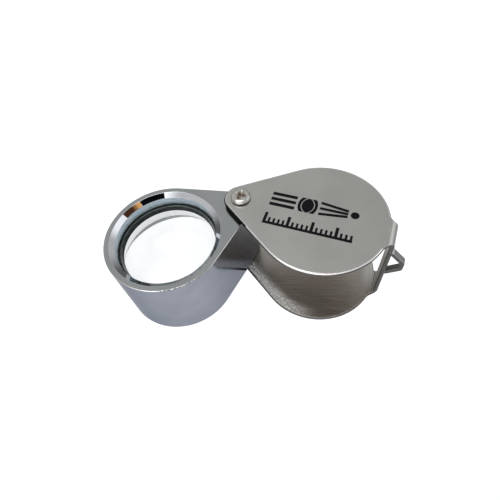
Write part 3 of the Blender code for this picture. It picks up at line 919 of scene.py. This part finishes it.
# -------- lens body
def make_lens_body(chrome, satin, bore_finish, mouth_finish):
    """Drop-shaped block whose rings run round the outside, over the rim and down through the bore."""
    low, high = BODY_LOW.z, BODY_HIGH.z
    drop = (BODY_RADIUS, TAIL_RADIUS, PIVOT_TO_LENS)
    centre = Vector((PIVOT_TO_LENS, 0))
    directions = [(point - centre).normalized() for point in drop_ring(*drop, 0)]
    flat = 0.6              # the flat faces start this far in from the rims
    outside = fillet([(flat, low, 0), (0, low, BODY_ROUND), (0, high, BODY_ROUND), (flat, high, 0)])
    rings, edges = drop_rings(outside, *drop)
    land = MOUTH_RADIUS + 0.35
    soft = 0.07             # rounding of the mouth's edges
    bore = fillet([(land, high, 0), (MOUTH_RADIUS, high, soft), (BORE_RADIUS, high - MOUTH_DEPTH, soft),
                   (BORE_RADIUS, low + MOUTH_DEPTH, soft), (MOUTH_RADIUS, low, soft), (land, low, 0)],
                  steps=4)
    for radius, height, edge in bore:
        ring = [centre + direction * radius for direction in directions]
        rings.append([(p.x, p.y, height) for p in ring])
        edges.append(edge)
    body = skin(rings, edges, closed=True)
    body = combined(body, cylinder(POST_RADIUS + RUN_GAP, low - 1, high + 1), "DIFFERENCE")
    axis = LENS * MM

    def body_part(face):
        away = (face.center.xy - axis).length / MM
        if abs(face.normal.z) > 0.98:
            return 1
        if away > MOUTH_RADIUS:
            return 0
        return 3 if abs(face.normal.z) > 0.4 else 2

    add_piece("lens_housing", body, AT_OPEN_PIVOT, "lens", [chrome, satin, bore_finish, mouth_finish],
              "lens_body", pick=body_part)


def make_sleeve(finish):
    inner = GLASS_RADIUS + GLASS_GAP
    outer = BORE_RADIUS - BORE_GAP
    low, high = SLEEVE_LOW.z, SLEEVE_HIGH.z
    profile = fillet([(inner, low, 0.08), (outer, low, 0.12), (outer, high, 0.12), (inner, high, 0.08)],
                     closed=True, steps=3)
    add_piece("glass_sleeve", turned(profile), AT_LENS, "lens", [finish], "lens_sleeve")


def make_retaining_rings(finish):
    """Thin funnel rings pressed in over the rims of the outer glasses."""
    outer = BORE_RADIUS - BORE_GAP
    for name, node, sign in (("upper_ring", "upper_retaining_ring", 1),
                             ("lower_ring", "lower_retaining_ring", -1)):
        low, high = cad_box(node)
        face, foot = (high.z, low.z) if sign > 0 else (low.z, high.z)
        lip_radius = RING_INNER_FOOT if sign > 0 else RING_INNER_TOP
        lip = foot + sign * (sag(OUTER_CURVE, GLASS_RADIUS) - sag(OUTER_CURVE, lip_radius))
        corners = [(lip_radius, lip, 0), (GLASS_RADIUS, foot, 0), (outer, foot, 0.1),
                   (outer, face, 0.06), (RING_INNER_TOP, face, 0.1)]
        ring = turned(fillet(corners, closed=True, steps=4))
        add_piece(name, ring, AT_LENS, "lens", [finish], node)


def sag(curve, radius):
    """How far a sphere falls away from its top at this radius."""
    return curve - math.sqrt(curve ** 2 - radius ** 2)


def glass_face(curve, apex, sign, steps=28):
    """Points from the axis to the rim of a face whose middle is at apex, domed towards sign."""
    points = []
    for i in range(steps + 1):
        radius = GLASS_RADIUS * i / steps
        points.append((radius, apex - sign * sag(curve, radius), 0.0))
    return points


def make_lenses(crown_glass, flint_glass, cement_face):
    """Triplet: a biconvex crown between two menisci, whose cemented faces let light cross unbent."""
    middle = (CROWN_LOW.z + CROWN_HIGH.z) / 2
    half = (CROWN_HIGH.z - CROWN_LOW.z) / 2
    rim = (GLASS_RADIUS - 0.1) * MM
    axis = LENS * MM

    def crown_pick(face):
        return 0 if (face.center.xy - axis).length > rim else 1

    under = glass_face(CEMENT_CURVE, middle - half, -1)
    over = glass_face(CEMENT_CURVE, middle + half, 1)
    bm = turned(under + over[::-1], 120)
    add_piece("crown_element", bm, AT_LENS, "lens", [crown_glass, cement_face], "crown_lens",
              sharp=20, pick=crown_pick)
    for name, node, sign in (("upper_element", "upper_flint_lens", 1),
                             ("lower_element", "lower_flint_lens", -1)):
        low, high = cad_box(node)
        outer = high.z if sign > 0 else low.z
        inner = middle + sign * (half + GLASS_GAP)
        inside = glass_face(CEMENT_CURVE, inner, sign)
        outside = glass_face(OUTER_CURVE, outer, sign)
        bm = turned(inside + outside[::-1], 120)

        def flint_pick(face, sign=sign, inner=inner):
            away = (face.center.xy - axis).length
            on_cement = inner - sign * sag(CEMENT_CURVE, min(away / MM, GLASS_RADIUS))
            return 1 if away < rim and abs(face.center.z / MM - on_cement) < 0.1 else 0

        add_piece(name, bm, AT_LENS, "lens", [flint_glass, cement_face], node,
                  sharp=20, pick=flint_pick)


# -------- stage
def make_floor():
    """A pale light table that glows softly, so that it shows bright through the glass.

    What the metal mirrors of it is dimmer, and past the web at +X it is darker still.
    """
    look = Look("pale_floor", (0.30, 0.30, 0.31), Roughness=0.9)
    cloudy = look.noise(0.02, 3.0)
    glow = look.blend(cloudy, (0.84, 0.845, 0.86), (0.86, 0.865, 0.88))
    path = look.node("ShaderNodeLightPath")
    seen = look.larger(path.outputs["Is Camera Ray"], path.outputs["Transmission Depth"])
    along_x = look.parts(look.point)["X"]
    past_web = look.spread(along_x, 28.0, 44.0)
    mirrored = look.math("SUBTRACT", look.spread(along_x, -62.0, -38.0, 0.32, 0.45),
                         look.times(past_web, 0.32))
    look.wire(look.blend(past_web, (0.30, 0.30, 0.31), (0.12, 0.12, 0.125)), Emission_Color=glow,
              Emission_Strength=look.spread(seen, 0.0, 1.0, mirrored, 1.08))
    stage_plate("floor", look.material, (3.0, 3.0), Matrix.Translation((0, 0, -0.02 * MM)))


def stage_plate(name, material, half_size, place):
    """A flat rectangle in metres that isn't part of the object."""
    bm = bmesh.new()
    bmesh.ops.create_grid(bm, x_segments=2, y_segments=2, size=1.0)
    bmesh.ops.scale(bm, vec=(*half_size, 1), verts=bm.verts)
    plate = mesh_object(name, bm)
    plate.data.materials.append(material)
    plate.matrix_world = place
    return plate


def make_world():
    """Surroundings that the camera sees in one even pale tone.

    What the metal mirrors is dark near the horizon except at +X, so that it shows its shape, and
    brighter high up, in a patch overhead, low down on the near side and in a band at +X.
    """
    seen_level = 0.93
    world = bpy.data.worlds.new("studio")
    world.use_nodes = True
    nodes = Nodes(world.node_tree)
    direction = nodes.node("ShaderNodeTexCoord").outputs["Generated"]
    along = nodes.parts(direction)
    level = nodes.spread(along["Z"], 0.10, 0.42, 0.11, 0.52)
    level = nodes.larger(level, nodes.spread(along["X"], 0.3, 0.95, 0.0, 0.5))
    level = nodes.times(level, nodes.spread(along["X"], -0.6, 0.6, 1.12, 0.90))
    off_patch = nodes.length(direction, (0.75, 1.0, 0.0), (0.0, 0.24, 0.0))
    patch = nodes.times(nodes.spread(off_patch, 0.46, 0.26, 0.0, 1.8),
                        nodes.spread(along["Z"], 0.0, 0.3))
    level = nodes.plus(level, patch)
    low_glow = nodes.times(nodes.spread(along["Y"], -0.66, -0.88, 0.0, 1.6),
                           nodes.spread(along["Z"], 0.05, 0.25))
    level = nodes.plus(level, low_glow)
    side_glow = nodes.times(nodes.spread(along["X"], 0.40, 0.60, 0.0, 0.65),
                            nodes.spread(along["Z"], 0.15, 0.40))
    side_glow = nodes.times(side_glow, nodes.spread(along["Y"], -0.3, 0.4, 0.3, 1.0))
    level = nodes.plus(level, side_glow)
    in_view = nodes.node("ShaderNodeLightPath").outputs["Is Camera Ray"]
    level = nodes.spread(in_view, 0.0, 1.0, level, seen_level)
    background = world.node_tree.nodes["Background"]
    background.inputs["Color"].default_value = (1.0, 1.0, 1.01, 1.0)
    world.node_tree.links.new(level, background.inputs["Strength"])
    bpy.context.scene.world = world


def make_light():
    """One weak soft box overhead, for the contact shadows; its places and size are in metres."""
    place = Vector((-0.04, -0.10, 0.60))
    aim = Vector((-0.01, -0.01, 0))
    data = bpy.data.lights.new("key", "AREA")
    data.shape = "RECTANGLE"
    data.size = data.size_y = 0.4
    data.energy = 0.4
    lamp = new_object("key", data)
    lamp.location = place
    lamp.rotation_euler = (aim - place).to_track_quat("-Z", "Y").to_euler()


def make_cards(camera):
    """A black flag and a warm card behind the camera, for the chamfers; the camera can't see them."""
    flag = Look("flag", (0.012, 0.012, 0.014), Specular_IOR_Level=0.0)
    grain = flag.noise(0.2, 3.0)
    flag.wire(flag.blend(grain, (0.003, 0.003, 0.004), (0.010, 0.010, 0.013)))
    warm = Look("warm_bounce", (0.03, 0.015, 0.008), Roughness=0.7, Specular_IOR_Level=0.0,
                Emission_Strength=1.0)
    grain = warm.noise(0.16, 4.0, 0.7)
    fade = warm.plus(warm.parts(warm.point)["X"], warm.times(grain, 24.0))
    warm.wire(Emission_Color=warm.mottle(fade, -12.0, 6.0, (0.80, 0.42, 0.15), (0.05, 0.020, 0.010)))
    facing = camera.rotation_euler.to_matrix().to_4x4()
    behind = 3              # how far behind the camera they stand
    for name, look, right, up, tilt, half_size in (("black_flag", flag, -14, 12, 18, (23, 16)),
                                                   ("warm_card", warm, 27, 40, 43, (27, 15))):
        place = (Matrix.Translation(camera.location) @ facing
                 @ Matrix.Translation((right * MM, up * MM, behind * MM))
                 @ Matrix.Rotation(math.radians(tilt), 4, "Z"))
        card = stage_plate(name, look.material, [half * MM for half in half_size], place)
        card.visible_camera = False


def make_camera():
    camera = bpy.data.cameras.new("camera")
    camera.lens = 27.96
    camera.sensor_width = 36.0
    camera.shift_x = 0.0251
    camera.shift_y = -0.0373
    camera.clip_start = 1 * MM
    camera.clip_end = 20.0
    seen_from = new_object("camera", camera)
    seen_from.location = Vector((7.393, -47.913, 84.254)) * MM
    seen_from.rotation_euler = [math.radians(angle) for angle in (35.195, 6.265, 20.617)]
    bpy.context.scene.camera = seen_from
    bpy.context.scene.view_settings.view_transform = "Standard"
    return seen_from


# -------- build
edge_finish = cut_edge()
make_cover(cover_steel(), cover_inside(), edge_finish)
make_print(print_ink())
make_loop(plain_metal("loop_steel", (0.48, 0.485, 0.465), (0.56, 0.56, 0.54), 0.28, 0.40,
                      (0.62, 0.62, 0.60)), edge_finish)
make_screw(screw_steel(), painted_seam_shade())
make_post(plain_metal("post_steel", (0.34, 0.34, 0.33), (0.46, 0.46, 0.45), 0.28, 0.45, (0.6, 0.6, 0.58)))
make_washers(washer_nylon(),
             plain_metal("spring_steel", (0.24, 0.24, 0.25), (0.33, 0.33, 0.34), 0.25, 0.4,
                         (0.5, 0.5, 0.5)))
make_lens_body(body_chrome(), body_satin(), bore_chrome(), mouth_chrome())
make_sleeve(plain_metal("sleeve_aluminium", (0.88, 0.88, 0.89), (0.94, 0.94, 0.95), 0.22, 0.35,
                        (0.93, 0.93, 0.93)))
make_retaining_rings(black_anodised())
make_lenses(polished_glass("crown_glass", (0.99, 1.0, 1.0), 1.52),
            polished_glass("flint_glass", (0.985, 1.0, 0.995), 1.52),
            polished_glass("cement_face", (1.0, 1.0, 1.0), 1.0))
make_floor()
make_world()
make_light()
make_cards(make_camera())
